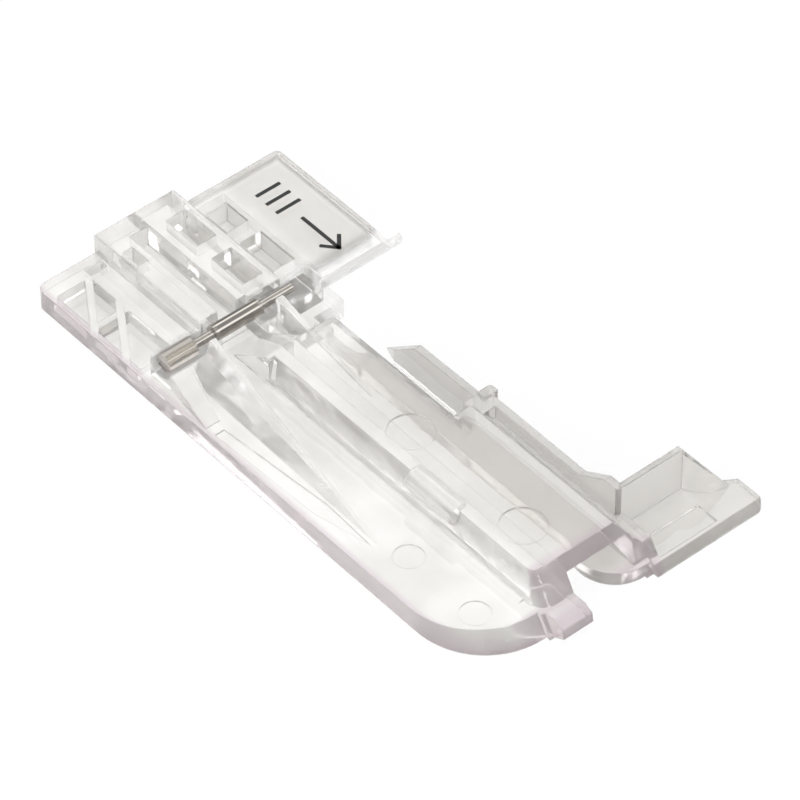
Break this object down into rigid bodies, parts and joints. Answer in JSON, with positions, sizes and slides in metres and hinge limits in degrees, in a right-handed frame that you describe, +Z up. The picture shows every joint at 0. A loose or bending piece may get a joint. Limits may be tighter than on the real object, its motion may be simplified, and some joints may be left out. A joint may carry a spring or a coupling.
{
  "type": "sewing machine presser foot",
  "caption": "Clear moulded presser foot sole for an overlocker, with a cord tunnel, a side guide and tray, a platform with a curled lip and a steel hinge pin.",
  "frame": {"origin": "middle of the hinge pin's bare stretch between the two ears, on the pin's axis", "axes": "+X along the hinge pin towards the platform and the tray, -Y towards the toe, +Z up, away from the fabric"},
  "size_m": [0.034, 0.0649, 0.0064],
  "materials": {
    "clear_plastic": "clear, polished",
    "steel": "bright turned"
  },
  "bodies": {
    "root": {"presser_sole": "clear_plastic", "hinge_pin": "steel"}
  },
  "joints": []
}
